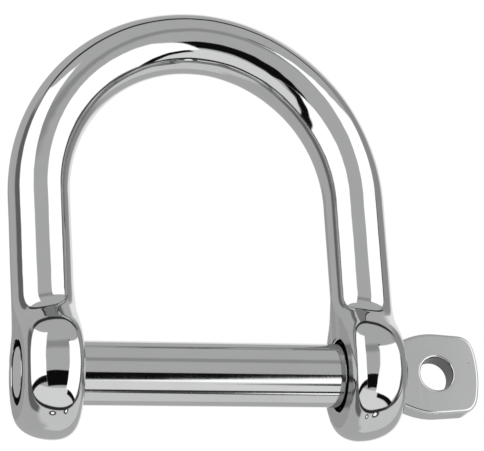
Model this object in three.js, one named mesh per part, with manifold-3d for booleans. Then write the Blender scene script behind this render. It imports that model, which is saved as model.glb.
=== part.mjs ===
// Bow shackle of the wide D pattern, with a flat-eye screw pin. Two forged stainless steel pieces:
// a bent round bar with an ear at each end, and the pin that closes the jaw between the ears.
//
// Millimetres. The origin is the centre of the pin's threaded end face. X runs along the pin towards
// its flat eye, Z points from the pin to the crown of the bow, and Y is across the shackle.

import * as THREE from "three";
import { mergeVertices } from "three/addons/utils/BufferGeometryUtils.js";
import Module from "manifold-3d";

const wasm = await Module();
wasm.setup();

// Driving dimensions
const PIN_DIAMETER = 10;
const BAR_DIAMETER = 9.75;
const JAW_WIDTH = 42.2;
const EAR_THICKNESS = 9.1;
const EAR_DIAMETER = 20.7;
const SPRING_HEIGHT = 28.7; // where the straight legs end and the crown begins
const CROWN_RISE = 27; // from there to the highest point of the bar's centreline

// Bow details
const EAR_EDGE_RADIUS = 3.4;
const LEG_OFFSET = 0.1; // each leg sits this far outside the middle of its ear
const DRESSED_HEIGHT = 9; // the ears' outer faces are flat up to here
const DRESSING_BLEND = 6; // and the leg's full round is reached this much higher
const NECK_FILLET_RADIUS = 12; // from a leg's side into the round of its ear
const NECK_SINK = 0.3; // how deep the fillet's upper end dips into the leg
const PLAIN_BORE_DIAMETER = 10.6; // in the ear next to the pin's flat eye
const THREADED_BORE_DIAMETER = 10.2; // in the other ear, clear of the pin's crests
const BORE_CHAMFER = 0.5;

// Pin details
const THREAD_PITCH = 1.5;
const THREAD_CORE_DIAMETER = 8.16;
const THREAD_CREST_DIAMETER = 9.9;
const THREAD_FLANK_ANGLE = Math.PI / 6;
const THREAD_LENGTH = 8.6;
const THREAD_ROOT_SINK = 0.25; // how deep the ridge's foot sits in the core
const THREAD_END_CHAMFER = 0.7;
const CREST_CLEARANCE = 0.2; // between the crests and the body that trims them
const RUNOUT_LENGTH = 0.9; // cone from the thread's core up to the full shank
const TAB_GAP = 0.3; // between the tab's shoulder and the ear behind it
const TAB_LENGTH = 13.3;
const TAB_CONE_LENGTH = 1.2; // from the round shank down to the tab's thickness
const TAB_THICKNESS = 4;
const TAB_EDGE_BEVEL = 0.4;
const TAB_SHOULDER_HALF = 5.05; // half height next to the ear
const TAB_WIDEST_HALF = 6.6;
const TAB_TIP_HALF = 6.15; // half height the tip would have if its corners were sharp
const TAB_TIP_BULGE = 0.35;
const TAB_CORNER = 2.6; // how far a corner reaches along the side and along the tip
const TAB_HOLE_DIAMETER = 5.4;
const TAB_HOLE_OFFSET = 6.3; // from the tab's shoulder

// Worked out from the above
const BAR_RADIUS = BAR_DIAMETER / 2;
const EAR_RADIUS = EAR_DIAMETER / 2;
const THREADED_EAR_X = EAR_THICKNESS / 2;
const PLAIN_EAR_X = THREADED_EAR_X + JAW_WIDTH + EAR_THICKNESS;
const MIDDLE_X = (THREADED_EAR_X + PLAIN_EAR_X) / 2;
const OUTER_FACE_X = PLAIN_EAR_X + EAR_THICKNESS / 2;
const LEG_SPREAD = (PLAIN_EAR_X - THREADED_EAR_X) / 2 + LEG_OFFSET;
const TAB_START_X = OUTER_FACE_X + TAB_GAP;

// How finely round shapes are faceted
const BAR_SIDES = 24;
const BOW_STEPS = 34;
const EAR_SIDES = 40;
const PIN_SIDES = 32;
const ARC_POINTS = 4;
const THREAD_STEPS_PER_TURN = 14;
const MERGE_DISTANCE = 1e-4;

const steel = new THREE.MeshStandardMaterial({ color: 0xb9bbbd, roughness: 0.12, metalness: 1 });
const pinSteel = new THREE.MeshStandardMaterial({ color: 0xb4b5b8, roughness: 0.16, metalness: 1 });

// A closed geometry as a solid that can be joined and cut.
function solid(geometry) {
  const bare = geometry.clone();
  bare.deleteAttribute("normal");
  bare.deleteAttribute("uv");
  const merged = mergeVertices(bare, MERGE_DISTANCE);
  const mesh = new wasm.Mesh({
    numProp: 3,
    vertProperties: new Float32Array(merged.attributes.position.array),
    triVerts: new Uint32Array(merged.index.array),
  });
  return new wasm.Manifold(mesh);
}

function geometryOf(body) {
  const mesh = body.getMesh();
  const geometry = new THREE.BufferGeometry();
  geometry.setAttribute("position", new THREE.BufferAttribute(mesh.vertProperties, 3));
  geometry.setIndex(new THREE.BufferAttribute(mesh.triVerts, 1));
  geometry.computeVertexNormals();
  return geometry;
}

// A body turned about the X axis from [x, radius] points that start and end on the axis.
function turnedAboutX(points, sides) {
  const outline = points.map(([x, radius]) => new THREE.Vector2(radius, x));
  return new THREE.LatheGeometry(outline, sides).rotateZ(-Math.PI / 2);
}

// A straight hole along X with a chamfer at both mouths, as the body to cut away.
function chamferedHole(fromX, toX, radius, chamfer, sides) {
  const wide = radius + 2 * chamfer;
  return solid(turnedAboutX([
    [fromX - chamfer, 0],
    [fromX - chamfer, wide],
    [fromX + chamfer, radius],
    [toX - chamfer, radius],
    [toX + chamfer, wide],
    [toX + chamfer, 0],
  ], sides));
}

// The bar's centreline: up one leg, over the elliptical crown and down the other leg.
class BowLine extends THREE.Curve {
  getPoint(t, target = new THREE.Vector3()) {
    const crownLength = Math.PI * (LEG_SPREAD + CROWN_RISE) / 2;
    const total = 2 * SPRING_HEIGHT + crownLength;
    const run = t * total;
    if (run <= SPRING_HEIGHT) {
      return target.set(MIDDLE_X - LEG_SPREAD, 0, run);
    }
    if (run >= total - SPRING_HEIGHT) {
      return target.set(MIDDLE_X + LEG_SPREAD, 0, total - run);
    }
    const angle = Math.PI * (run - SPRING_HEIGHT) / crownLength;
    const x = MIDDLE_X - LEG_SPREAD * Math.cos(angle);
    return target.set(x, 0, SPRING_HEIGHT + CROWN_RISE * Math.sin(angle));
  }
}

function bar() {
  const section = new THREE.Shape().absarc(0, 0, BAR_RADIUS, 0, 2 * Math.PI);
  return solid(new THREE.ExtrudeGeometry(section, {
    steps: BOW_STEPS,
    curveSegments: BAR_SIDES / 2,
    bevelEnabled: false,
    extrudePath: new BowLine(),
  }));
}

// A round ear with rounded edges, centred on the pin's axis.
function ear(centreX) {
  const half = EAR_THICKNESS / 2;
  const flat = EAR_RADIUS - EAR_EDGE_RADIUS;
  const rim = half - EAR_EDGE_RADIUS;
  const edge = new THREE.Path();
  edge.absarc(rim, flat, EAR_EDGE_RADIUS, Math.PI / 2, 0, true);
  const oneSide = edge.getPoints(ARC_POINTS).map((p) => [p.x, p.y]);
  const otherSide = oneSide.map(([x, radius]) => [-x, radius]).reverse();
  const profile = [[-half, 0], ...otherSide, ...oneSide, [half, 0]];
  return solid(turnedAboutX(profile, EAR_SIDES).translate(centreX, 0, 0));
}

// The flare between a leg and its ear: round where it leaves the leg, flattened at the ear.
function neck(centreX) {
  const fillet = NECK_FILLET_RADIUS;
  const centreY = BAR_RADIUS + fillet - NECK_SINK;
  const centreZ = Math.sqrt((EAR_RADIUS + fillet) ** 2 - centreY ** 2);
  const meetsEar = Math.atan2(-centreZ, -centreY);
  const flare = new THREE.Path();
  flare.absarc(centreY, centreZ, fillet, meetsEar, -Math.PI, true);
  const curve = flare.getPoints(ARC_POINTS);
  const outline = [new THREE.Vector2(0, 0), new THREE.Vector2(curve[0].x, 0), ...curve];
  outline.push(new THREE.Vector2(0, curve[curve.length - 1].y));
  const flattening = EAR_THICKNESS / 2 / curve[0].x;
  const geometry = new THREE.LatheGeometry(outline, BAR_SIDES).rotateX(Math.PI / 2);
  return solid(geometry.scale(flattening, 1, 1).translate(centreX, 0, 0));
}

// What is dressed off outside an ear, so that its outer face is flat. outward is 1 or -1.
function dressing(faceX, outward) {
  const outline = new THREE.Shape();
  outline.moveTo(0, -EAR_DIAMETER);
  outline.lineTo(0, DRESSED_HEIGHT);
  outline.lineTo(LEG_OFFSET + BAR_RADIUS - EAR_THICKNESS / 2, DRESSED_HEIGHT + DRESSING_BLEND);
  outline.lineTo(BAR_RADIUS, DRESSED_HEIGHT + DRESSING_BLEND);
  outline.lineTo(BAR_RADIUS, -EAR_DIAMETER);
  const slab = new THREE.ExtrudeGeometry(outline, { depth: EAR_DIAMETER, bevelEnabled: false });
  slab.translate(0, 0, -EAR_DIAMETER / 2).rotateX(Math.PI / 2);
  if (outward < 0) {
    slab.rotateZ(Math.PI);
  }
  return solid(slab.translate(faceX, 0, 0));
}

function shackleBody() {
  let body = bar();
  for (const centreX of [THREADED_EAR_X, PLAIN_EAR_X]) {
    body = body.add(ear(centreX)).add(neck(centreX));
  }
  body = body.subtract(dressing(0, -1)).subtract(dressing(OUTER_FACE_X, 1));
  const innerFace = PLAIN_EAR_X - EAR_THICKNESS / 2;
  const threadedRadius = THREADED_BORE_DIAMETER / 2;
  const plainRadius = PLAIN_BORE_DIAMETER / 2;
  const threadedBore = chamferedHole(0, EAR_THICKNESS, threadedRadius, BORE_CHAMFER, PIN_SIDES);
  const plainBore = chamferedHole(innerFace, OUTER_FACE_X, plainRadius, BORE_CHAMFER, PIN_SIDES);
  const mesh = new THREE.Mesh(geometryOf(body.subtract(threadedBore).subtract(plainBore)), steel);
  mesh.name = "shackle_body";
  return mesh;
}

// A right-handed helix about X. Its frames point outwards, so that a section swept along it
// has its own x away from the axis.
class ThreadLine extends THREE.Curve {
  constructor(radius, startX, turns) {
    super();
    this.radius = radius;
    this.startX = startX;
    this.turns = turns;
  }

  getPoint(t, target = new THREE.Vector3()) {
    const angle = 2 * Math.PI * this.turns * t;
    const x = this.startX + THREAD_PITCH * this.turns * t;
    return target.set(x, this.radius * Math.cos(angle), this.radius * Math.sin(angle));
  }

  computeFrenetFrames(segments) {
    const frames = { tangents: [], normals: [], binormals: [] };
    for (let i = 0; i <= segments; i++) {
      const angle = 2 * Math.PI * this.turns * i / segments;
      const outward = new THREE.Vector3(0, Math.cos(angle), Math.sin(angle));
      const along = this.getTangent(i / segments);
      frames.tangents.push(along);
      frames.normals.push(outward);
      frames.binormals.push(new THREE.Vector3().crossVectors(along, outward).normalize());
    }
    return frames;
  }
}

// The thread's ridge, cut to the threaded length and the pin end's chamfer.
function threadRidge() {
  const core = THREAD_CORE_DIAMETER / 2;
  const crest = THREAD_CREST_DIAMETER / 2;
  const crestHalf = THREAD_PITCH / 16;
  const footHalf = crestHalf + (crest - core + THREAD_ROOT_SINK) * Math.tan(THREAD_FLANK_ANGLE);
  const section = new THREE.Shape();
  section.moveTo(-THREAD_ROOT_SINK, -footHalf);
  section.lineTo(crest - core, -crestHalf);
  section.lineTo(crest - core, crestHalf);
  section.lineTo(-THREAD_ROOT_SINK, footHalf);
  const turns = THREAD_LENGTH / THREAD_PITCH + 1;
  const ridge = solid(new THREE.ExtrudeGeometry(section, {
    steps: Math.round(turns * THREAD_STEPS_PER_TURN),
    bevelEnabled: false,
    extrudePath: new ThreadLine(core, -THREAD_PITCH / 2, turns),
  }));
  const outside = THREAD_END_CHAMFER + CREST_CLEARANCE;
  const envelope = solid(turnedAboutX([
    [0, 0],
    [0, crest - THREAD_END_CHAMFER],
    [outside, crest - THREAD_END_CHAMFER + outside],
    [THREAD_LENGTH, crest - THREAD_END_CHAMFER + outside],
    [THREAD_LENGTH, 0],
  ], PIN_SIDES));
  return ridge.intersect(envelope);
}

// The round shank, from the pin's end face to inside the tab.
function shank() {
  const core = THREAD_CORE_DIAMETER / 2;
  const radius = PIN_DIAMETER / 2;
  const endRadius = THREAD_CREST_DIAMETER / 2 - THREAD_END_CHAMFER;
  return solid(turnedAboutX([
    [0, 0],
    [0, Math.min(core, endRadius)],
    [THREAD_LENGTH - RUNOUT_LENGTH, core],
    [THREAD_LENGTH, radius],
    [TAB_START_X, radius],
    [TAB_START_X + TAB_CONE_LENGTH, TAB_THICKNESS / 2],
    [TAB_START_X + TAB_CONE_LENGTH, 0],
  ], PIN_SIDES));
}

// The flat eye that turns the pin, with its seizing hole.
function tab() {
  const tipX = TAB_LENGTH - TAB_TIP_BULGE;
  const widestX = TAB_LENGTH / 2;
  const bevel = TAB_EDGE_BEVEL;
  const slope = (TAB_WIDEST_HALF - TAB_TIP_HALF) / (tipX - widestX);
  const swellHalf = TAB_WIDEST_HALF + slope * widestX / 2;
  const cornerHalf = TAB_TIP_HALF + slope * TAB_CORNER;
  const tipHalf = TAB_TIP_HALF - TAB_CORNER;
  const bulgeX = tipX + 2 * TAB_TIP_BULGE;
  const cornerX = tipX - 2 * TAB_TIP_BULGE * TAB_CORNER / tipHalf; // keeps the bulged tip tangent
  const outline = new THREE.Shape();
  outline.moveTo(0, -TAB_SHOULDER_HALF);
  outline.quadraticCurveTo(widestX / 2, -swellHalf, widestX, -TAB_WIDEST_HALF);
  outline.lineTo(tipX - TAB_CORNER, -cornerHalf);
  outline.quadraticCurveTo(cornerX, -TAB_TIP_HALF, tipX, -tipHalf);
  outline.quadraticCurveTo(bulgeX, 0, tipX, tipHalf);
  outline.quadraticCurveTo(cornerX, TAB_TIP_HALF, tipX - TAB_CORNER, cornerHalf);
  outline.lineTo(widestX, TAB_WIDEST_HALF);
  outline.quadraticCurveTo(widestX / 2, swellHalf, 0, TAB_SHOULDER_HALF);
  outline.closePath();
  const hole = new THREE.Path();
  hole.absarc(TAB_HOLE_OFFSET, 0, TAB_HOLE_DIAMETER / 2, 0, 2 * Math.PI, true);
  outline.holes.push(hole);
  const geometry = new THREE.ExtrudeGeometry(outline, {
    depth: TAB_THICKNESS - 2 * bevel,
    curveSegments: 2 * ARC_POINTS,
    bevelThickness: bevel,
    bevelSize: bevel,
    bevelOffset: -bevel,
    bevelSegments: 1,
  });
  geometry.translate(0, 0, bevel - TAB_THICKNESS / 2);
  geometry.rotateX(Math.PI / 2);
  return solid(geometry.translate(TAB_START_X, 0, 0));
}

function screwPin() {
  const mesh = new THREE.Mesh(geometryOf(shank().add(threadRidge()).add(tab())), pinSteel);
  mesh.name = "screw_pin";
  return mesh;
}

const shackle = new THREE.Group();
shackle.add(shackleBody());
shackle.add(screwPin());

export default shackle;
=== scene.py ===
"""Looks for the wide D bow shackle: a mirror-polished forged bow and its screw pin, in a plain studio.

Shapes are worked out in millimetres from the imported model's boxes and turned into metres when a mesh
is made. X runs along the pin towards its flat eye, Z points to the crown of the bow, Y is across.
"""

import math

import bmesh
import bpy
import numpy as np
from mathutils import Matrix, Vector


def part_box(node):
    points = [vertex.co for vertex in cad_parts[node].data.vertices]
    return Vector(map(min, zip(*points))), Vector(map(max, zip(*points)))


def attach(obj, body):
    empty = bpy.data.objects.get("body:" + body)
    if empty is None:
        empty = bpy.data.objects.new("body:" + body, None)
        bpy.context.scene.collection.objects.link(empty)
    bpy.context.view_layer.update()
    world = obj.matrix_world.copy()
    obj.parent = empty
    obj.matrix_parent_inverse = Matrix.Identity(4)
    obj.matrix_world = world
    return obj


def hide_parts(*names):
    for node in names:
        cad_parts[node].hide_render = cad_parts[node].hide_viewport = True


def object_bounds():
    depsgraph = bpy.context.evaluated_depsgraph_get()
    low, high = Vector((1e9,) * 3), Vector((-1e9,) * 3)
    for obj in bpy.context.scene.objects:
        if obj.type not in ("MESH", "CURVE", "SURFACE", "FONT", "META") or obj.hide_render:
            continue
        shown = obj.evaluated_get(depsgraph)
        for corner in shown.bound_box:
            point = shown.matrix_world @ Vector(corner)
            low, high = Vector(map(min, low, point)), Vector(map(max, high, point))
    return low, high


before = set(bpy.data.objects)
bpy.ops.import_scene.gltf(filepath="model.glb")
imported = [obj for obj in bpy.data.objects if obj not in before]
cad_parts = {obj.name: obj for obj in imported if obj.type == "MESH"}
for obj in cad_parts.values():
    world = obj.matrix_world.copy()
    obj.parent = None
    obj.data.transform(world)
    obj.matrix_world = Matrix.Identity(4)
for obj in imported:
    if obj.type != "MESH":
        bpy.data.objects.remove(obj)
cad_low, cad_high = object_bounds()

MM = 0.001


def box_mm(node):
    """Lowest and highest corner of a CAD node, in millimetres."""
    low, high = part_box(node)
    return np.array(low) / MM, np.array(high) / MM


body_low, body_high = box_mm("shackle_body")
pin_low, pin_high = box_mm("screw_pin")

# ---------------------------------------------------------------- dimensions, in millimetres

MIDDLE_X = (body_low[0] + body_high[0]) / 2
BAR_RADIUS = 4.875
LEG_SPREAD = (body_high[0] - body_low[0]) / 2 - BAR_RADIUS
CROWN_RISE = 27.0
SPRING_HEIGHT = body_high[2] - BAR_RADIUS - CROWN_RISE

# An ear's rim is highest nearer the jaw, and rounder towards its outer face.
EAR_RADIUS = -body_low[2]
EAR_THICKNESS = 9.1
OUTER_FACE_SPREAD = MIDDLE_X - pin_low[0]
INNER_FACE_SPREAD = OUTER_FACE_SPREAD - EAR_THICKNESS
EAR_SPREAD = (OUTER_FACE_SPREAD + INNER_FACE_SPREAD) / 2
RIM_OUTER_WIDTH = 5.8
RIM_OUTER_DEPTH = 3.3
RIM_INNER_WIDTH = EAR_THICKNESS - RIM_OUTER_WIDTH
RIM_INNER_DEPTH = 2.3

# The ears run up into the legs as ramps that face this much upwards.
RAMP_PITCH = math.radians(42)
LEG_END_HEIGHT = 3.0
NECK_BLEND = 1.2
FLANK_BLEND = 0.8
# The legs' outer sides are dressed flush with the ears below this height, and full round further up.
DRESSED_HEIGHT = 7.0
DRESSING_LENGTH = 6.0
DRESSING_BLEND = 0.6

# The plain ear's bore has a wide, shallow mouth towards the jaw.
PLAIN_BORE_RADIUS = 5.3
MOUTH_CHAMFER = 0.5
MOUTH_RADIUS = 5.75
MOUTH_DEPTH = 0.9
EDGE_BREAK = 0.08

# A metric thread with 60 degree flanks. A crest is flat for twice THREAD_CREST_HALF.
THREAD_PITCH = 1.5
THREAD_FLANK = math.tan(math.radians(30))
THREAD_ROOT_RADIUS = 4.08
THREAD_CREST_RADIUS = 4.95
THREAD_CREST_HALF = THREAD_PITCH / 16
THREAD_CLEARANCE = 0.08
THREAD_START = 0.9
THREAD_END = 9.6
RELIEF_RADIUS = 5.1
RELIEF_DEPTH = 1.6
PIN_POINT_RADIUS = 3.98
PIN_POINT_CHAMFER = 0.14
RUNOUT_START = 8.0

# The pin's shank ends in a rounded shoulder that runs into the flat eye.
PIN_RADIUS = pin_high[1]
TIP_X = pin_high[0]
TAB_WIDEST_HALF = 6.6
TAB_GAP = 0.3
TAB_START_X = MIDDLE_X + OUTER_FACE_SPREAD + TAB_GAP
TAB_SHOULDER_HALF = 5.05
TAB_TIP_HALF = 6.15
TAB_TIP_BULGE = 0.35
TAB_CORNER = 2.6
TAB_HALF_THICKNESS = 2.0
TAB_EDGE_RADIUS = 0.5
SHOULDER_LENGTH = 1.3
SHOULDER_END_RADIUS = 1.7
TAB_HOLE_REACH = 6.3
TAB_HOLE_X = TAB_START_X + TAB_HOLE_REACH
TAB_HOLE_RADIUS = 2.7
TAB_HOLE_RIM = 0.35

# Long low waves and shorter, lower ones, as hand polishing leaves them: height, length and seed.
POLISH_WAVES = [(0.010, 7.0, 3), (0.003, 2.6, 8)]
WAVE_DIRECTIONS = 9
WAVE_SPREAD = (0.7, 1.6)

# How fine the meshes are: points round a turned piece, rings along a stretch, steps along a curve.
BOW_SIDES = 80
CROWN_RINGS = 90
LEG_RINGS = 20
NECK_RINGS = 48
EAR_RINGS = 44
CUTTER_SIDES = 96
THREAD_SIDES = 72
FLANK_STEPS = 5
SHANK_SIDES = 120
SHANK_RINGS = 30
SHOULDER_STEPS = 13
ROUND_OVER_STEPS = 7
TAB_SWELL_STEPS = 12
TAB_EDGE_STEPS = 6
TAB_CORNER_STEPS = 14
TAB_BASE_STEPS = 10

# Rings are close together below NECK_TOP. From SHIFT_TOP down they move over from the leg's
# centreline to the ear's, and their rays crowd towards the bow's front and back.
NECK_TOP = 17.0
SHIFT_TOP = 14.0
SHIFT_LENGTH = 10.0
RAY_CROWDING = 0.9

# Points closer than this are one point, in a fresh mesh, in a thread and after boolean cuts.
FRESH_WELD = 0.0001
THREAD_WELD = 0.0005
CUT_WELD = 0.001

# Cosines above which a face agrees with a field's normal, and is square to an axis.
AGREES = 0.9
SQUARE_ON = 0.9999

# ---------------------------------------------------------------- meshes


def mesh_object(name, points, faces):
    """An object from points in millimetres."""
    mesh = bpy.data.meshes.new(name)
    mesh.from_pydata((np.asarray(points) * MM).tolist(), [], faces)
    mesh.update()
    obj = bpy.data.objects.new(name, mesh)
    bpy.context.scene.collection.objects.link(obj)
    return obj


def rebuild(obj, change):
    """Runs change on an object's mesh as a BMesh."""
    mesh = bmesh.new()
    mesh.from_mesh(obj.data)
    change(mesh)
    mesh.to_mesh(obj.data)
    mesh.free()
    obj.data.update()


def close_up(obj, distance):
    """Joins points closer than distance (mm), drops what then has no face, fills open rings with
    flat faces and points every face outwards."""

    def change(mesh):
        bmesh.ops.remove_doubles(mesh, verts=mesh.verts, dist=distance * MM)
        bmesh.ops.dissolve_degenerate(mesh, edges=mesh.edges, dist=distance * MM)
        loose_edges = [edge for edge in mesh.edges if not edge.link_faces]
        bmesh.ops.delete(mesh, geom=loose_edges, context="EDGES")
        loose = [vert for vert in mesh.verts if not vert.link_faces]
        bmesh.ops.delete(mesh, geom=loose, context="VERTS")
        rims = [edge for edge in mesh.edges if edge.is_boundary]
        bmesh.ops.holes_fill(mesh, edges=rims, sides=0)
        bmesh.ops.recalc_face_normals(mesh, faces=mesh.faces)

    rebuild(obj, change)


def combine(obj, other, operation):
    """Joins or cuts obj with other, and deletes other."""
    modifier = obj.modifiers.new("combine", "BOOLEAN")
    modifier.operation = operation
    modifier.object = other
    modifier.solver = "MANIFOLD"
    depsgraph = bpy.context.evaluated_depsgraph_get()
    made = bpy.data.meshes.new_from_object(obj.evaluated_get(depsgraph))
    obj.modifiers.clear()
    old = obj.data
    obj.data = made
    made.name = obj.name
    bpy.data.meshes.remove(old)
    bpy.data.objects.remove(other)


def revolve(name, profile, sides=CUTTER_SIDES):
    """A closed solid turned about the X axis, from (x, radius) pairs."""
    angles = 2 * np.pi * np.arange(sides) / sides
    rings = []
    for x, radius in profile:
        ring = [np.full(sides, x), radius * np.cos(angles), radius * np.sin(angles)]
        rings.append(np.column_stack(ring))
    obj = mesh_object(name, np.vstack(rings), ring_faces(len(profile), sides))
    close_up(obj, FRESH_WELD)
    return obj


def ring_faces(rings, sides):
    """Quads between neighbouring rings of equal length, where ring r starts at point r * sides."""
    faces = []
    for ring in range(rings - 1):
        for side in range(sides):
            here = ring * sides + side
            beside = ring * sides + (side + 1) % sides
            faces.append([here, beside, beside + sides, here + sides])
    return faces


def gradient(field, points):
    """Unit normals of a field, at points."""
    step = 0.001
    out = np.empty_like(points)
    for axis in range(3):
        shift = np.zeros(3)
        shift[axis] = step
        out[:, axis] = field(points + shift) - field(points - shift)
    return out / np.maximum(np.linalg.norm(out, axis=1, keepdims=True), 1e-12)


def shade(obj, fields, sharp_angle, flat_axis=None, near=0.012):
    """Smooth shading. Faces that lie on the surface of one of the fields, to within near, take that
    field's normals, faces square to flat_axis stay flat, and the rest use the mesh's own, split at
    edges sharper than sharp_angle in degrees."""
    mesh = obj.data
    mesh.shade_smooth()
    mesh.set_sharp_from_angle(angle=math.radians(sharp_angle))
    count = len(mesh.polygons)
    corners = np.zeros(len(mesh.loops) * 3, np.float32)
    mesh.corner_normals.foreach_get("vector", corners)
    corners = corners.reshape(-1, 3).astype(float)
    points = np.zeros(len(mesh.vertices) * 3)
    mesh.vertices.foreach_get("co", points)
    points = points.reshape(-1, 3) / MM
    flat = np.zeros(count * 3)
    mesh.polygons.foreach_get("normal", flat)
    flat = flat.reshape(-1, 3)
    totals = np.zeros(count, int)
    mesh.polygons.foreach_get("loop_total", totals)
    face = np.repeat(np.arange(count), totals)
    corner_point = np.zeros(len(mesh.loops), int)
    mesh.loops.foreach_get("vertex_index", corner_point)
    for field in fields:
        normals = gradient(field, points)[corner_point]
        on_surface = (np.abs(field(points)) < near)[corner_point]
        agrees = np.einsum("ij,ij->i", flat[face], normals) > AGREES
        whole = np.ones(count, bool)
        np.logical_and.at(whole, face, on_surface & agrees)
        corners[whole[face]] = normals[whole[face]]
    if flat_axis is not None:
        level = np.abs(flat[face, flat_axis]) > SQUARE_ON
        corners[level] = flat[face[level]]
    mesh.normals_split_custom_set(corners.tolist())


# ---------------------------------------------------------------- the bow


def smooth_least(a, b, width):
    """The smaller of a and b, rounded off where they differ by less than width."""
    h = np.clip(0.5 + 0.5 * (b - a) / width, 0, 1)
    return b + (a - b) * h - width * h * (1 - h)


def waviness(points, amplitude, wavelength, seed):
    """A low, smooth unevenness, as hand polishing leaves on a forging."""
    rng = np.random.default_rng(seed)
    total = np.zeros(len(points))
    for _ in range(WAVE_DIRECTIONS):
        direction = rng.normal(size=3)
        direction /= np.linalg.norm(direction)
        length = wavelength * rng.uniform(*WAVE_SPREAD)
        phase = rng.uniform(0, 2 * np.pi)
        total += np.sin(points @ direction * 2 * np.pi / length + phase)
    return amplitude * total / math.sqrt(WAVE_DIRECTIONS)


def crown_distance(x, z, newton_steps=4):
    """Distance from the crown's elliptical centreline, in the plane of the bow, by Newton's method."""
    a, b = LEG_SPREAD, CROWN_RISE
    t = np.arctan2(z / b, x / a)
    for _ in range(newton_steps):
        s, c = np.sin(t), np.cos(t)
        slope = (a * a - b * b) * c * s - x * a * s + z * b * c
        bend = (a * a - b * b) * (c * c - s * s) - x * a * c - z * b * s
        t = t - slope / np.where(np.abs(bend) < 1e-9, -1e-9, bend)
    return np.hypot(x - a * np.cos(t), z - b * np.sin(t))


def bar_field(x, y, z):
    """Distance outside the bent bar, whose legs are dressed flush with the ears' outer faces."""
    leg = np.hypot(x - LEG_SPREAD, np.minimum(z - LEG_END_HEIGHT, 0))
    in_plane = np.where(z > SPRING_HEIGHT, crown_distance(x, np.maximum(z - SPRING_HEIGHT, 0)), leg)
    up = np.clip((z - DRESSED_HEIGHT) / DRESSING_LENGTH, 0, 1)
    clear = LEG_SPREAD + BAR_RADIUS + DRESSING_BLEND - OUTER_FACE_SPREAD
    beyond = x - OUTER_FACE_SPREAD - clear * up * up * (3 - 2 * up)
    return -smooth_least(BAR_RADIUS - np.hypot(in_plane, y), -beyond, DRESSING_BLEND)


def ear_field(x, y, z):
    """Distance outside an ear: a disc with a ramp up to the leg at front and back, whose rim is
    crowned from face to face."""
    outer = x > OUTER_FACE_SPREAD - RIM_OUTER_WIDTH
    width = np.where(outer, RIM_OUTER_WIDTH, RIM_INNER_WIDTH)
    depth = np.where(outer, RIM_OUTER_DEPTH, RIM_INNER_DEPTH)
    across = np.abs(x - OUTER_FACE_SPREAD + RIM_OUTER_WIDTH) / width
    radius = np.hypot(y, z)
    ramp = np.abs(y) * math.cos(RAMP_PITCH) + z * math.sin(RAMP_PITCH)
    radius = np.where(z > radius * math.sin(RAMP_PITCH), ramp, radius)
    outward = np.maximum(radius - EAR_RADIUS + depth, 0) / depth
    size = np.maximum(np.hypot(across, outward), 1e-3)
    steep = np.maximum(np.hypot(across / width, outward / depth), 1e-4) / size
    return (size - 1) / steep


def bow_field(points):
    """Distance outside the forged bow, before it is bored."""
    x = np.abs(points[:, 0] - MIDDLE_X)
    y, z = points[:, 1], points[:, 2]
    sideways = y * y / np.maximum((x - LEG_SPREAD) ** 2 + y * y, 1e-9)
    blend = FLANK_BLEND + (NECK_BLEND - FLANK_BLEND) * sideways
    shape = smooth_least(bar_field(x, y, z), ear_field(x, y, z), blend)
    for amplitude, wavelength, seed in POLISH_WAVES:
        shape = shape + waviness(points, amplitude, wavelength, seed)
    return shape


def bow_rings():
    """Rings of rays for the +X half of the bow, from the crown to the bottom of the ear: each ring's
    centre, outward direction, tilt downwards in degrees, and stretch across the bow."""
    rings = []
    for angle in np.linspace(90, 0, CROWN_RINGS)[1:]:
        c, s = math.cos(math.radians(angle)), math.sin(math.radians(angle))
        centre = (LEG_SPREAD * c, SPRING_HEIGHT + CROWN_RISE * s)
        outward = np.array([c / LEG_SPREAD, s / CROWN_RISE])
        rings.append((centre, outward / np.linalg.norm(outward), 0.0, 1.0))
    leg = np.linspace(SPRING_HEIGHT, NECK_TOP, LEG_RINGS)[1:]
    neck = np.linspace(NECK_TOP, 0, NECK_RINGS)[1:]
    for height in np.concatenate([leg, neck]):
        drop = np.clip((SHIFT_TOP - height) / SHIFT_LENGTH, 0, 1)
        x = LEG_SPREAD + (EAR_SPREAD - LEG_SPREAD) * drop
        rings.append(((x, height), np.array([1.0, 0.0]), 0.0, 1 + RAY_CROWDING * drop))
    for tilt in np.linspace(0, 90, EAR_RINGS)[1:-1]:
        stretch = 1 + RAY_CROWDING * math.cos(math.radians(tilt))
        rings.append(((EAR_SPREAD, 0.0), np.array([1.0, 0.0]), tilt, stretch))
    return rings


def outermost(origins, directions, field, reach, halvings=44):
    """Where rays from inside a field leave it, by halving the stretch that holds the place."""
    near = np.zeros(len(origins))
    far = np.full(len(origins), reach)
    for _ in range(halvings):
        middle = (near + far) / 2
        inside = field(origins + directions * middle[:, None]) < 0
        near = np.where(inside, middle, near)
        far = np.where(inside, far, middle)
    return origins + directions * near[:, None]


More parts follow.
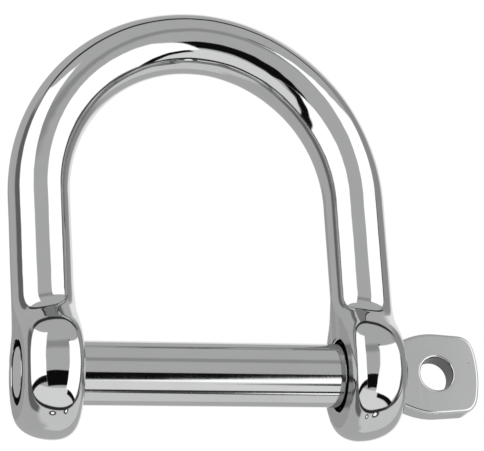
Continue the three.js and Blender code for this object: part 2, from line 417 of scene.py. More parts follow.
def forged_bow(name):
    """The unbored bow: rings of rays from its centreline out to the field's surface, all quads but
    for the two ear bottoms."""
    sides = BOW_SIDES
    around = 2 * np.pi * np.arange(sides) / sides
    origins, directions = [], []
    half = bow_rings()
    crown = ((0.0, SPRING_HEIGHT + CROWN_RISE), np.array([0.0, 1.0]), 0.0, 1.0)
    sequence = [(-1, ring) for ring in reversed(half)] + [(1, crown)] + [(1, ring) for ring in half]
    for side, (centre, outward, tilt, stretch) in sequence:
        turn = np.arctan2(stretch * np.sin(around), np.cos(around))
        flat = np.column_stack([outward[0] * np.cos(turn), np.sin(turn), outward[1] * np.cos(turn)])
        lean = math.radians(tilt)
        ray = flat * math.cos(lean) + np.array([0, 0, -math.sin(lean)])
        ray[:, 0] *= side
        origins.append(np.tile([MIDDLE_X + side * centre[0], 0, centre[1]], (sides, 1)))
        directions.append(ray)
    for side in (-1, 1):
        origins.append(np.array([[MIDDLE_X + side * EAR_SPREAD, 0, 0]]))
        directions.append(np.array([[0, 0, -1.0]]))
    reach = 1.3 * EAR_RADIUS
    points = outermost(np.vstack(origins), np.vstack(directions), bow_field, reach)
    rings = len(sequence)
    faces = ring_faces(rings, sides)
    for ring, pole in ((0, rings * sides), (rings - 1, rings * sides + 1)):
        for side in range(sides):
            a = ring * sides + side
            b = ring * sides + (side + 1) % sides
            faces.append([b, a, pole] if ring == 0 else [a, b, pole])
    obj = mesh_object(name, points, faces)
    close_up(obj, FRESH_WELD)
    return obj


# ---------------------------------------------------------------- the thread


def threaded_rod(name, start, end, root, crest, crest_half, trimmed=None):
    """A rod along X with a right-handed thread whose rows of points follow the helix, so that crests
    stay crisp. Both its ends have the root's radius, and trimmed(x), if given, is the largest radius
    at x."""
    sides = THREAD_SIDES
    foot_half = crest_half + (crest - root) * THREAD_FLANK
    flank = np.linspace(crest_half, foot_half, FLANK_STEPS)
    places = [-crest_half, *flank, THREAD_PITCH / 2, *(THREAD_PITCH - flank[:0:-1])]
    lead = 2
    turns = math.ceil((end - start) / THREAD_PITCH) + lead + 1
    points = []
    for turn in range(turns):
        for place in places:
            from_crest = abs((place + THREAD_PITCH / 2) % THREAD_PITCH - THREAD_PITCH / 2)
            ideal = min(max(crest - (from_crest - crest_half) / THREAD_FLANK, root), crest)
            for side in range(sides):
                x = start + THREAD_PITCH * (turn - lead + side / sides) + place
                x = min(max(x, start), end)
                radius = ideal if start < x < end else root
                if trimmed:
                    radius = min(radius, trimmed(x))
                angle = 2 * math.pi * side / sides
                points.append((x, radius * math.cos(angle), radius * math.sin(angle)))
    faces = []
    per_turn = len(places)
    for row in range((turns - 1) * per_turn - 1):
        for side in range(sides):
            here, above = row * sides + side, (row + 1) * sides + side
            if side < sides - 1:
                faces.append([here, here + 1, above + 1, above])
            else:
                faces.append([here, (row + per_turn) * sides, (row + 1 + per_turn) * sides, above])
    obj = mesh_object(name, points, faces)
    close_up(obj, THREAD_WELD)
    return obj


def tap():
    """What is cut from the threaded ear for its thread, in step with the pin's."""
    crest = THREAD_CREST_RADIUS + THREAD_CLEARANCE
    root = THREAD_ROOT_RADIUS + 1.5 * THREAD_CLEARANCE
    half = THREAD_CREST_HALF + THREAD_CLEARANCE / 2
    start = THREAD_START - 2 * THREAD_PITCH
    end = EAR_THICKNESS + THREAD_PITCH
    return threaded_rod("tap", start, end, root, crest, half)


def relief():
    """The unthreaded mouth of the threaded ear, on its outer face."""
    profile = [
        (-EDGE_BREAK, RELIEF_RADIUS + 2 * EDGE_BREAK),
        (EDGE_BREAK, RELIEF_RADIUS),
        (RELIEF_DEPTH, RELIEF_RADIUS),
        (RELIEF_DEPTH + RELIEF_RADIUS - THREAD_ROOT_RADIUS, THREAD_ROOT_RADIUS),
    ]
    return revolve("relief", profile)


def jaw_countersink():
    """The threaded ear's mouth on the side of the jaw."""
    depth = RELIEF_RADIUS + MOUTH_CHAMFER - THREAD_ROOT_RADIUS
    reach = 0.5
    profile = [
        (EAR_THICKNESS - depth, THREAD_ROOT_RADIUS),
        (EAR_THICKNESS + reach, RELIEF_RADIUS + MOUTH_CHAMFER + reach),
    ]
    return revolve("jaw_countersink", profile)


def drill():
    """What is cut from the plain ear: a bore with a wide mouth on the side of the jaw."""
    inner = MIDDLE_X + INNER_FACE_SPREAD
    outer = MIDDLE_X + OUTER_FACE_SPREAD
    chamfer = MOUTH_CHAMFER
    broken_edge = MOUTH_RADIUS + 2 * EDGE_BREAK
    profile = [
        (inner - MOUTH_DEPTH, broken_edge),
        (inner - EDGE_BREAK, broken_edge),
        (inner + EDGE_BREAK, MOUTH_RADIUS),
        (inner + MOUTH_DEPTH, MOUTH_RADIUS),
        (inner + MOUTH_DEPTH, PLAIN_BORE_RADIUS),
        (outer - chamfer, PLAIN_BORE_RADIUS),
        (outer + chamfer, PLAIN_BORE_RADIUS + 2 * chamfer),
    ]
    return revolve("drill", profile)


def build_bow():
    """The forged bow with both ears bored."""
    obj = forged_bow("bow_polished")
    for cutter in (tap, relief, jaw_countersink, drill):
        combine(obj, cutter(), "DIFFERENCE")
    close_up(obj, CUT_WELD)
    shade(obj, [bow_field], sharp_angle=28)
    return obj


# ---------------------------------------------------------------- the pin


def quadratic(start, control, end, steps):
    """Points along a quadratic curve, without the last."""
    t = np.linspace(0, 1, steps + 1)[:-1, None]
    start, control, end = (np.array(p, float) for p in (start, control, end))
    return (1 - t) ** 2 * start + 2 * t * (1 - t) * control + t * t * end


def tab_outline():
    """The flat eye's outline, as (x, z) points in order round it: from its lower shoulder along the
    lower side, round the tip and back along the upper side, with no kink where curves meet."""
    tip = TIP_X - TAB_START_X - TAB_TIP_BULGE
    middle = (TIP_X - TAB_START_X) / 2
    wide, narrow, corner, bulge = TAB_WIDEST_HALF, TAB_TIP_HALF, TAB_CORNER, 2 * TAB_TIP_BULGE
    slope = (wide - narrow) / (tip - middle)
    swell = wide + slope * middle / 2
    edge = np.array([tip - corner, narrow + slope * corner])
    bend = np.array([tip - bulge * corner / (narrow - corner), narrow])
    widest = np.array([middle, wide])
    low = np.array([1, -1])
    pieces = [
        quadratic((0, -TAB_SHOULDER_HALF), (middle / 2, -swell), widest * low, TAB_SWELL_STEPS),
        quadratic(widest * low, (widest + edge) / 2 * low, edge * low, TAB_EDGE_STEPS),
        quadratic(edge * low, bend * low, (tip, corner - narrow), TAB_CORNER_STEPS),
        quadratic((tip, corner - narrow), (tip + bulge, 0), (tip, narrow - corner), TAB_CORNER_STEPS),
        quadratic((tip, narrow - corner), bend, edge, TAB_CORNER_STEPS),
        quadratic(edge, (widest + edge) / 2, widest, TAB_EDGE_STEPS),
        quadratic(widest, (middle / 2, swell), (0, TAB_SHOULDER_HALF), TAB_SWELL_STEPS),
        quadratic((0, TAB_SHOULDER_HALF), (0, 0), (0, -TAB_SHOULDER_HALF), TAB_BASE_STEPS),
    ]
    outline = np.vstack(pieces)
    outline[:, 0] += TAB_START_X
    return outline


def outline_distance(x, z, outline):
    """Distance outside a closed outline, negative inside it."""
    p = np.column_stack([x, z])
    nearest = np.full(len(p), np.inf)
    inside = np.zeros(len(p), bool)
    for a, b in zip(outline, np.roll(outline, -1, axis=0)):
        edge = b - a
        along = np.clip(((p - a) @ edge) / (edge @ edge), 0, 1)
        nearest = np.minimum(nearest, np.linalg.norm(p - a - along[:, None] * edge, axis=1))
        crosses = (a[1] > z) != (b[1] > z)
        if crosses.any():
            reach = a[0] + (z - a[1]) * (b[0] - a[0]) / (b[1] - a[1] if b[1] != a[1] else 1e-12)
            inside ^= crosses & (x < reach)
    return np.where(inside, -nearest, nearest)


def tab_field(points):
    """Distance outside the flat eye, whose edges are rounded."""
    edge = outline_distance(points[:, 0], points[:, 2], tab_outline())
    height = np.abs(points[:, 1]) - TAB_HALF_THICKNESS
    return rounded_corner(edge, height, TAB_EDGE_RADIUS)


def hole_field(points):
    """Distance outside the metal round the flat eye's hole, whose rims are softened."""
    inward = TAB_HOLE_RADIUS - np.hypot(points[:, 0] - TAB_HOLE_X, points[:, 2])
    height = np.abs(points[:, 1]) - TAB_HALF_THICKNESS
    return rounded_corner(inward, height, TAB_HOLE_RIM)


def shank_field(points):
    """Distance outside the round shank and its rounded shoulder."""
    radius = np.hypot(points[:, 1], points[:, 2])
    along = np.maximum(points[:, 0] - TAB_START_X, 0) / SHOULDER_LENGTH
    outward = (radius - SHOULDER_END_RADIUS) / (PIN_RADIUS - SHOULDER_END_RADIUS)
    dome = (np.hypot(along, np.maximum(outward, 0)) - 1) * SHOULDER_LENGTH
    return np.where(points[:, 0] > TAB_START_X, dome, radius - PIN_RADIUS)


def rounded_corner(a, b, radius):
    """The larger of distances a and b, with the corner between them rounded."""
    u, v = a + radius, b + radius
    return np.minimum(np.maximum(u, v), 0) + np.hypot(np.maximum(u, 0), np.maximum(v, 0)) - radius


def outline_normals(outline):
    """Outward directions at an outline's points, from its neighbours."""
    along = np.roll(outline, -1, axis=0) - np.roll(outline, 1, axis=0)
    out = np.column_stack([along[:, 1], -along[:, 0]])
    return out / np.linalg.norm(out, axis=1, keepdims=True)


def quarter_turn(steps):
    """Cosine and sine at even steps from 0 to 90 degrees."""
    angles = np.linspace(0, np.pi / 2, steps)
    return list(zip(np.cos(angles), np.sin(angles)))


def tab_blank():
    """The flat eye without its hole."""
    outline = tab_outline()
    out = outline_normals(outline)
    radius = TAB_EDGE_RADIUS
    front = []
    for c, s in quarter_turn(ROUND_OVER_STEPS):
        inset = outline - out * radius * (1 - c)
        height = TAB_HALF_THICKNESS - radius * (1 - s)
        front.append(np.column_stack([inset[:, 0], np.full(len(outline), -height), inset[:, 1]]))
    back = [ring * [1, -1, 1] for ring in front]
    rings = front[::-1] + back
    obj = mesh_object("tab_blank", np.vstack(rings), ring_faces(len(rings), len(outline)))
    close_up(obj, FRESH_WELD)
    return obj


def hole_cutter():
    """The seizing hole, with both rims rounded over."""
    rim = TAB_HOLE_RIM
    reach = 1
    front = [(-TAB_HALF_THICKNESS - reach, TAB_HOLE_RADIUS + rim)]
    for c, s in quarter_turn(ROUND_OVER_STEPS):
        front.append((-TAB_HALF_THICKNESS + rim * (1 - c), TAB_HOLE_RADIUS + rim * (1 - s)))
    back = [(-x, radius) for x, radius in reversed(front)]
    obj = revolve("hole_cutter", front + back)
    turn = Matrix.Rotation(math.radians(90), 4, "Z")
    obj.data.transform(Matrix.Translation((TAB_HOLE_X * MM, 0, 0)) @ turn)
    return obj


def point_and_thread():
    """The pin's plain end and its thread, which runs out inside the shank."""
    rod = threaded_rod(
        "pin_polished",
        THREAD_START,
        THREAD_END,
        THREAD_ROOT_RADIUS,
        THREAD_CREST_RADIUS,
        THREAD_CREST_HALF,
        trimmed=lambda x: PIN_POINT_RADIUS - EDGE_BREAK + x - THREAD_START,
    )
    overlap = 0.5
    profile = [
        (0, PIN_POINT_RADIUS - PIN_POINT_CHAMFER),
        (PIN_POINT_CHAMFER, PIN_POINT_RADIUS),
        (THREAD_START + overlap, PIN_POINT_RADIUS),
    ]
    combine(rod, revolve("pin_point", profile), "UNION")
    return rod


def shank():
    """The round shank, from the end of the thread to the rounded shoulder that runs into the tab."""
    overlap = 0.1
    depth = PIN_RADIUS - THREAD_ROOT_RADIUS + overlap
    profile = [(RUNOUT_START, PIN_RADIUS - depth)]
    stations = np.linspace(RUNOUT_START + depth, TAB_START_X, SHANK_RINGS)
    profile += [(x, PIN_RADIUS) for x in stations]
    for c, s in quarter_turn(SHOULDER_STEPS)[1:]:
        radius = SHOULDER_END_RADIUS + (PIN_RADIUS - SHOULDER_END_RADIUS) * c
        profile.append((TAB_START_X + SHOULDER_LENGTH * s, radius))
    return revolve("shank", profile, SHANK_SIDES)


def build_pin():
    """The screw pin as one solid."""
    obj = point_and_thread()
    combine(obj, shank(), "UNION")
    combine(obj, tab_blank(), "UNION")
    combine(obj, hole_cutter(), "DIFFERENCE")
    close_up(obj, CUT_WELD)
    shade(obj, [shank_field, tab_field, hole_field], sharp_angle=25, flat_axis=1)
    return obj


# ---------------------------------------------------------------- node helpers


class Nodes:
    """Short ways to write arithmetic in a node tree."""

    def __init__(self, tree):
        self.tree = tree
        self.tree.nodes.clear()

    def add(self, kind, **settings):
        node = self.tree.nodes.new(kind)
        for name, value in settings.items():
            setattr(node, name, value)
        return node

    def put(self, socket, value):
        if isinstance(value, bpy.types.NodeSocket):
            self.tree.links.new(value, socket)
        elif value is not None:
            socket.default_value = value

    def math(self, operation, a, b=None, c=None):
        node = self.add("ShaderNodeMath", operation=operation)
        for socket, value in zip(node.inputs, (a, b, c)):
            self.put(socket, value)
        return node.outputs[0]

    def ramp(self, value, low, high, to_low=0.0, to_high=1.0):
        node = self.add("ShaderNodeMapRange", interpolation_type="SMOOTHSTEP")
        for socket, item in zip(node.inputs, (value, low, high, to_low, to_high)):
            self.put(socket, item)
        return node.outputs[0]

    def band(self, value, low, high, feather):
        """1 between low and high, fading over feather at both."""
        rise = self.ramp(value, low - feather / 2, low + feather / 2)
        fall = self.ramp(value, high - feather / 2, high + feather / 2)
        return self.math("SUBTRACT", rise, fall)

    def mix(self, share, a, b):
        """a at share 0, b at share 1, for plain numbers."""
        node = self.add("ShaderNodeMix", data_type="FLOAT")
        self.put(node.inputs["Factor"], share)
        self.put(node.inputs["A"], a)
        self.put(node.inputs["B"], b)
        return node.outputs["Result"]

    def noise(self, vector, scale, detail=2.0, roughness=0.5):
        node = self.add("ShaderNodeTexNoise")
        self.put(node.inputs["Vector"], vector)
        self.put(node.inputs["Scale"], scale)
        self.put(node.inputs["Detail"], detail)
        self.put(node.inputs["Roughness"], roughness)
        return node.outputs["Fac"]

    def stretched(self, vector, scale):
        node = self.add("ShaderNodeMapping")
        self.put(node.inputs["Vector"], vector)
        self.put(node.inputs["Scale"], scale)
        return node.outputs["Vector"]

    def separate(self, vector):
        """The three parts of a vector."""
        node = self.add("ShaderNodeSeparateXYZ")
        self.put(node.inputs[0], vector)
        return node.outputs

    def grey(self, value):
        """A colour whose three parts are all value."""
        node = self.add("ShaderNodeCombineColor")
        for socket in node.inputs:
            self.put(socket, value)
        return node.outputs[0]


# ---------------------------------------------------------------- materials

STEEL_TINT = (0.90, 0.905, 0.91, 1.0)

# Noise scales are in features per metre, thresholds are in the noise's own 0 to 1.
HAZE_SCALE = 160.0
HAZE_FROM, HAZE_FULL = 0.35, 0.75
HAZE_SHADE = 0.975
PIT_SCALE = 1400.0
PIT_FROM, PIT_FULL = 0.80, 0.84
PIT_SHADE = 0.45
MARK_FROM, MARK_FULL = 0.55, 0.75
EDGE_FROM, EDGE_FULL = 0.52, 0.62
RIPPLE_SCALE = 420.0
# Brightness kept under the painted shade in the bores, thread roots and seizing hole, which in the
# thread roots is partly grime.
SHADE_AND_GRIME_TONE = 0.12
SATIN_SHADE = 0.80

# What each adds to the roughness. Haze and marks add this share of the polish's own roughness.
HAZE_SHARE = 0.35
MARK_SHARE = 0.5
EDGE_ROUGHNESS = 0.06
PIT_ROUGHNESS = 0.25
SATIN_ROUGHNESS = 0.22
SHADE_AND_GRIME_ROUGHNESS = 0.35

# Heights for the bump, as shares of BUMP_DISTANCE in millimetres.
RIPPLE_HEIGHT = 0.35
PIT_DEPTH = 0.6
BUMP_STRENGTH = 0.12
BUMP_DISTANCE = 0.02

# Cosines between which a surface counts as facing squarely along an axis.
FACING_FROM, FACING_FULL = 0.985, 0.998
# A zone's soft edge, and how far it reaches past the surface it covers or stays off a neighbour.
ZONE_FEATHER = 0.04
ZONE_MARGIN = 0.1
# Painted shade, with grime in it, covers this much of a thread's height from its root; the painted
# shade in the seizing hole is thinner.
ROOT_SHADE_AND_GRIME_DEPTH = 0.42
HOLE_PAINTED_SHADE = 0.8
TAB_SATIN = 0.5


def round_about(n, place, centre, axis):
    """Distance (m) of a place from a line along an axis (0 for X, 1 for Y) through centre (mm)."""
    offset = n.add("ShaderNodeVectorMath", operation="SUBTRACT")
    n.put(offset.inputs[0], place)
    n.put(offset.inputs[1], tuple(value * MM for value in centre))
    across = n.add("ShaderNodeVectorMath", operation="MULTIPLY")
    n.put(across.inputs[0], offset.outputs[0])
    n.put(across.inputs[1], tuple(0.0 if index == axis else 1.0 for index in range(3)))
    length = n.add("ShaderNodeVectorMath", operation="LENGTH")
    n.put(length.inputs[0], across.outputs[0])
    return length.outputs["Value"]


def between(n, value, low, high):
    """1 where a length (m) lies between two lengths in mm, with a thin soft edge."""
    return n.band(value, low * MM, high * MM, ZONE_FEATHER * MM)


def facing_along(n, axis):
    """1 where the surface faces squarely along an axis (0 for X, 1 for Y)."""
    parts = n.separate(n.add("ShaderNodeTexCoord").outputs["Normal"])
    return n.ramp(n.math("ABSOLUTE", parts[axis]), FACING_FROM, FACING_FULL)


def bow_zones(n, place):
    """Where the bow gets painted shade, inside its bores, and where it is satin, on its ears' flat
    faces.
    """
    x = n.separate(place)[0]
    near_axis = round_about(n, place, (0, 0, 0), 0)
    inner = MIDDLE_X + INNER_FACE_SPREAD
    in_threaded = between(n, x, ZONE_MARGIN, EAR_THICKNESS - ZONE_MARGIN)
    in_plain = between(n, x, inner + ZONE_MARGIN, inner + EAR_THICKNESS - ZONE_MARGIN)
    in_ear = n.math("ADD", in_threaded, in_plain)
    # Painted shade inside both ears' bores.
    shade_and_grime = n.math("MULTIPLY", in_ear, between(n, near_axis, 0, MOUTH_RADIUS + ZONE_MARGIN))
    return shade_and_grime, facing_along(n, 0)


def pin_zones(n, place):
    """Where the pin gets painted shade, in its thread's root, where there is grime too, and in its
    seizing hole, and where it is satin, on the flats of its eye."""
    x, y, _ = n.separate(place)
    near_axis = round_about(n, place, (0, 0, 0), 0)
    low, high = PIN_POINT_RADIUS - EDGE_BREAK, THREAD_ROOT_RADIUS + ROOT_SHADE_AND_GRIME_DEPTH
    on_thread = between(n, x, ZONE_MARGIN / 2, THREAD_END)
    root = n.math("MULTIPLY", on_thread, between(n, near_axis, low, high))
    near_hole = round_about(n, place, (TAB_HOLE_X, 0, 0), 1)
    hole = between(n, near_hole, 0, TAB_HOLE_RADIUS + ZONE_MARGIN)
    hole = n.math("MULTIPLY", hole, between(n, y, -TAB_HALF_THICKNESS, TAB_HALF_THICKNESS))
    on_tab = between(n, x, TAB_START_X + 3 * ZONE_MARGIN, TIP_X + ZONE_MARGIN)
    satin = n.math("MULTIPLY", n.math("MULTIPLY", on_tab, facing_along(n, 1)), TAB_SATIN)
    # Painted shade in the thread's root, where there is grime too, and fainter painted shade in the
    # seizing hole.
    return n.math("MAXIMUM", root, n.math("MULTIPLY", hole, HOLE_PAINTED_SHADE)), satin


def new_material(name):
    """An empty material and its nodes."""
    material = bpy.data.materials.new(name)
    material.use_nodes = True
    return material, Nodes(material.node_tree)


def polished_steel(name, roughness, scratch_scale, scratch_height, zones):
    """Mirror-polished stainless steel: a faint haze that comes and goes, hairline polishing marks
    along one direction, sparse pin-prick pits, slightly duller edges, satin flats, and painted shade
    that darkens and dulls the bores, thread roots and seizing hole, where polish can't reach, with
    grime in the thread roots too."""
    material, n = new_material(name)
    place = n.add("ShaderNodeTexCoord").outputs["Object"]
    shader = n.add("ShaderNodeBsdfPrincipled")
    output = n.add("ShaderNodeOutputMaterial")
    n.put(output.inputs["Surface"], shader.outputs[0])

    haze = n.ramp(n.noise(place, HAZE_SCALE, detail=3.0), HAZE_FROM, HAZE_FULL)
    marks = n.noise(n.stretched(place, scratch_scale), 1.0, detail=4.0, roughness=0.7)
    pits = n.ramp(n.noise(place, PIT_SCALE, detail=1.0), PIT_FROM, PIT_FULL)
    edges = n.ramp(n.add("ShaderNodeNewGeometry").outputs["Pointiness"], EDGE_FROM, EDGE_FULL)
    shade_and_grime, satin = zones(n, place)
    edges = n.math("MULTIPLY", edges, n.mix(satin, 1.0, 0.0))

    dull = n.math("MULTIPLY_ADD", haze, HAZE_SHARE * roughness, roughness)
    dull = n.math("MULTIPLY_ADD", n.ramp(marks, MARK_FROM, MARK_FULL), MARK_SHARE * roughness, dull)
    dull = n.math("MULTIPLY_ADD", edges, EDGE_ROUGHNESS, dull)
    dull = n.math("MULTIPLY_ADD", pits, PIT_ROUGHNESS, dull)
    dull = n.math("MULTIPLY_ADD", satin, SATIN_ROUGHNESS, dull)
    dull = n.math("MULTIPLY_ADD", shade_and_grime, SHADE_AND_GRIME_ROUGHNESS, dull)
    n.put(shader.inputs["Roughness"], dull)

    brightness = n.mix(haze, 1.0, HAZE_SHADE)
    brightness = n.math("MULTIPLY", brightness, n.mix(pits, 1.0, PIT_SHADE))
    # Painted shade darkens the bores, thread roots and seizing hole; in the thread roots it stands for
    # grime as well.
    brightness = n.math("MULTIPLY", brightness, n.mix(shade_and_grime, 1.0, SHADE_AND_GRIME_TONE))
    brightness = n.math("MULTIPLY", brightness, n.mix(satin, 1.0, SATIN_SHADE))
    colour = n.add("ShaderNodeMix", data_type="RGBA", blend_type="MULTIPLY")
    n.put(colour.inputs[0], 1.0)
    n.put(colour.inputs[6], STEEL_TINT)
    n.put(colour.inputs[7], n.grey(brightness))
    n.put(shader.inputs["Base Color"], colour.outputs[2])
    n.put(shader.inputs["Metallic"], 1.0)

    height = n.math("MULTIPLY", marks, scratch_height)
    height = n.math("MULTIPLY_ADD", n.noise(place, RIPPLE_SCALE), RIPPLE_HEIGHT, height)
    height = n.math("MULTIPLY_ADD", pits, -PIT_DEPTH, height)
    bump = n.add("ShaderNodeBump")
    n.put(bump.inputs["Strength"], BUMP_STRENGTH)
    n.put(bump.inputs["Distance"], BUMP_DISTANCE * MM)
    n.put(bump.inputs["Height"], height)
    n.put(shader.inputs["Normal"], bump.outputs[0])
    return material


def floor_material():
    """A pale floor that fades out around the object and isn't there from below."""
    material, n = new_material("pale_floor")
    geometry = n.add("ShaderNodeNewGeometry")
    place = n.add("ShaderNodeTexCoord").outputs["Object"]
    distance = n.add("ShaderNodeVectorMath", operation="LENGTH")
    n.put(distance.inputs[0], place)
    fade = n.ramp(distance.outputs["Value"], FLOOR_FADE_FROM, FLOOR_FADE_END)
    clear = n.math("MAXIMUM", fade, geometry.outputs["Backfacing"])
    shader = n.add("ShaderNodeBsdfDiffuse")
    speckle = n.noise(place, FLOOR_SPECKLE_SCALE, detail=3.0)
    n.put(shader.inputs["Color"], n.grey(n.mix(speckle, *FLOOR_SHADES)))
    see_through = n.add("ShaderNodeBsdfTransparent")
    mixed = n.add("ShaderNodeMixShader")
    n.put(mixed.inputs[0], clear)
    n.put(mixed.inputs[1], shader.outputs[0])
    n.put(mixed.inputs[2], see_through.outputs[0])
    output = n.add("ShaderNodeOutputMaterial")
    n.put(output.inputs["Surface"], mixed.outputs[0])
    return material


# ---------------------------------------------------------------- studio

# The floor, in metres.
FLOOR_SIZE = 1.2
FLOOR_FADE_FROM = 0.12
FLOOR_FADE_END = 0.38
FLOOR_SPECKLE_SCALE = 900.0
FLOOR_SHADES = (0.80, 0.84)

# The overhead light, in metres and watts.
LIGHT_SIZE = 0.5
LIGHT_POWER = 2.0
LIGHT_PLACE = Vector((MIDDLE_X * MM - 0.15, -0.2, 0.6))

# The studio as its polish shows it. Azimuth 0 is in front (-Y), positive towards +X, and elevation is
# up. Brightness is 1 for the white of the background.
FEATHER = 2.0
WALL = 0.41
BLACK = 0.004
CARD = 1.15
LAMP_SURROUND = 0.05
# The share kept by light that has been reflected twice, and the light that falls on the floor.
TWICE_REFLECTED = 0.5
FLOOR_LIGHT = 0.95
PANELS = [
    # centre azimuth, half width, lowest and highest elevation, lean to the right per degree up,
    # feather, brightness
    (100, 21, -12, 45, 0, 12, 0.27),  # dim corner on the right
    (150, 22, -3, 50, 0, 8, 0.80),  # paper behind, on the right
    (-130, 42, -60, 55, 0, 14, 0.40),  # room on the left
    (0, 31, 27, 40, 0, 8, 0.27),  # dull patch above the camera
    (-3, 25, -36, -12, 0, FEATHER, BLACK),  # gap in front, between the wall and the table
    (-59, 31, -29, -19, 0, FEATHER, BLACK),  # gap under the left card
    (49, 26, -50, -42, 0, FEATHER, BLACK),  # gap under the right card
    (78, 4, -55, 20, 0, 3, 0.08),  # edge of the right card
    (-97, 13, -60, 50, 0, 9, 0.12),  # edge of the left card
    (23, 2, 20, 40, 0.13, FEATHER, 0.03),  # frame of the right card
    (-56, 28, -19, 57, 0, FEATHER, CARD),  # left card
    (48, 27, -42, 37, 0.13, FEATHER, CARD),  # right card
]
STRIPS = [
    # lowest and highest pitch, brightness. Pitch is the angle up from the front, over the top.
    (-132, -82, 0.58),  # floor under the object
    (-79, -41, 0.69),  # light table in front of it
    (-83, -76, 0.02),  # the table's near edge
    (88, 97, 0.03),  # seam overhead
]
LAMPS = [
    # azimuth, elevation and radius of a small round lamp
    (-93, -85, 2.5),
    (79, -72, 3.0),
]


def studio_world():
    """White to the camera, even light on the floor, and a studio of cards and dark seams to
    whatever reflects."""
    world = bpy.data.worlds.new("studio")
    bpy.context.scene.world = world
    world.use_nodes = True
    n = Nodes(world.node_tree)
    direction = n.add("ShaderNodeTexCoord").outputs["Generated"]
    x, y, z = n.separate(direction)
    back = n.math("MULTIPLY", y, -1.0)
    to_degrees = 180 / math.pi
    elevation = n.math("MULTIPLY", n.math("ARCSINE", z), to_degrees)
    pitch = n.math("MULTIPLY", n.math("ARCTAN2", z, back), to_degrees)

    def azimuth_from(centre):
        """Azimuth measured from centre, from -180 to 180."""
        c, s = math.cos(math.radians(centre)), math.sin(math.radians(centre))
        sideways = n.math("SUBTRACT", n.math("MULTIPLY", x, c), n.math("MULTIPLY", back, s))
        ahead = n.math("MULTIPLY_ADD", x, s, n.math("MULTIPLY", back, c))
        return n.math("MULTIPLY", n.math("ARCTAN2", sideways, ahead), to_degrees)

    light = WALL
    for low, high, brightness in STRIPS:
        light = n.mix(n.band(pitch, low, high, FEATHER), light, brightness)
    for centre, half_width, low, high, lean, feather, brightness in PANELS:
        azimuth = n.math("MULTIPLY_ADD", elevation, -lean, azimuth_from(centre))
        across = n.band(azimuth, -half_width, half_width, feather)
        share = n.math("MULTIPLY", across, n.band(elevation, low, high, feather))
        light = n.mix(share, light, brightness)
    for azimuth, up, radius in LAMPS:
        flat = math.cos(math.radians(up))
        aim = (
            flat * math.sin(math.radians(azimuth)),
            -flat * math.cos(math.radians(azimuth)),
            math.sin(math.radians(up)),
        )
        facing = n.add("ShaderNodeVectorMath", operation="DOT_PRODUCT")
        n.put(facing.inputs[0], direction)
        n.put(facing.inputs[1], aim)
        away = n.math("MULTIPLY", n.math("ARCCOSINE", facing.outputs["Value"]), to_degrees)
        # A dark ring about the lamp, then the lamp itself.
        light = n.mix(n.ramp(away, 2.4 * radius, 2 * radius), light, LAMP_SURROUND)
        light = n.mix(n.ramp(away, radius + 0.5, radius - 0.5), light, CARD)

    rays = n.add("ShaderNodeLightPath")
    twice = n.math("GREATER_THAN", rays.outputs["Glossy Depth"], 1.5)
    light = n.math("MULTIPLY", light, n.mix(twice, 1.0, TWICE_REFLECTED))
    light = n.mix(rays.outputs["Is Diffuse Ray"], light, FLOOR_LIGHT)
    light = n.mix(rays.outputs["Is Camera Ray"], light, 1.0)
    background = n.add("ShaderNodeBackground")
    n.put(background.inputs["Color"], (1.0, 1.0, 1.0, 1.0))
    n.put(background.inputs["Strength"], light)
    output = n.add("ShaderNodeOutputWorld")
    n.put(output.inputs["Surface"], background.outputs[0])


def studio_floor():
    """The floor under the ears."""
    place = (MIDDLE_X * MM, 0, body_low[2] * MM)
    bpy.ops.mesh.primitive_plane_add(size=FLOOR_SIZE, location=place)
    floor = bpy.context.object
    floor.name = "studio_floor"
    floor.data.materials.append(floor_material())
    floor.visible_glossy = False


def soft_light():
    """One wide soft light overhead, for the shadow on the floor only."""
    data = bpy.data.lights.new("overhead", "AREA")
    data.shape = "DISK"
    data.size = LIGHT_SIZE
    data.energy = LIGHT_POWER
    light = bpy.data.objects.new("overhead", data)
    light.location = LIGHT_PLACE
    aim = Vector((MIDDLE_X * MM, 0, 0)) - light.location
    light.rotation_euler = aim.to_track_quat("-Z", "Y").to_euler()
    light.visible_glossy = False
    bpy.context.scene.collection.objects.link(light)


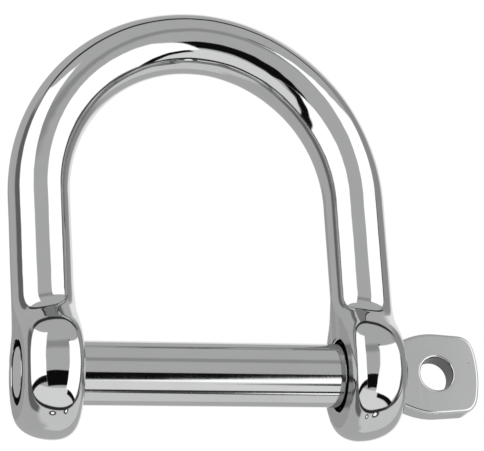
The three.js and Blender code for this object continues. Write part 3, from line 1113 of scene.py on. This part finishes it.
# ---------------------------------------------------------------- camera

# Angles in degrees, distances in metres. Azimuth 0 is in front, and positive is towards +X.
CAMERA_AZIMUTH = -15.37
CAMERA_ELEVATION = -18.93
CAMERA_ROLL = -3.62
CAMERA_DISTANCE = 0.43174
CAMERA_LENS = 201.6
AIM_OFFSET = Vector((0.00032, 0.0, -0.00038))


def place_camera():
    """A long lens, from below the pin and a little to the threaded side."""
    a = math.radians(CAMERA_AZIMUTH)
    e = math.radians(CAMERA_ELEVATION)
    aim = (cad_low + cad_high) / 2 + AIM_OFFSET
    back = Vector((math.sin(a) * math.cos(e), -math.cos(a) * math.cos(e), math.sin(e)))
    right = (-back).cross(Vector((0, 0, 1))).normalized()
    up = right.cross(-back)
    roll = math.radians(CAMERA_ROLL)
    turned_right = right * math.cos(roll) + up * math.sin(roll)
    turned_up = up * math.cos(roll) - right * math.sin(roll)
    data = bpy.data.cameras.new("camera")
    data.lens = CAMERA_LENS
    data.clip_start = 0.01
    data.clip_end = 10
    camera = bpy.data.objects.new("camera", data)
    basis = Matrix((turned_right, turned_up, back)).transposed().to_4x4()
    camera.matrix_world = Matrix.Translation(aim + back * CAMERA_DISTANCE) @ basis
    bpy.context.scene.collection.objects.link(camera)
    bpy.context.scene.camera = camera


# ---------------------------------------------------------------- putting it together


def show(piece, steel, body, node):
    """Gives a piece its material, hangs it on its body and hides its CAD node."""
    piece.data.materials.clear()
    piece.data.materials.append(steel)
    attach(piece, body)
    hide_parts(node)


# The marks run along the bow's height and round the pin.
bow_steel = polished_steel(
    "bow_steel",
    roughness=0.045,
    scratch_scale=(500, 500, 90),
    scratch_height=0.5,
    zones=bow_zones,
)
pin_steel = polished_steel(
    "pin_steel",
    roughness=0.06,
    scratch_scale=(900, 60, 60),
    scratch_height=0.8,
    zones=pin_zones,
)
show(build_bow(), bow_steel, "bow", "shackle_body")
show(build_pin(), pin_steel, "pin", "screw_pin")

studio_world()
studio_floor()
soft_light()
place_camera()
bpy.context.scene.view_settings.view_transform = "Standard"
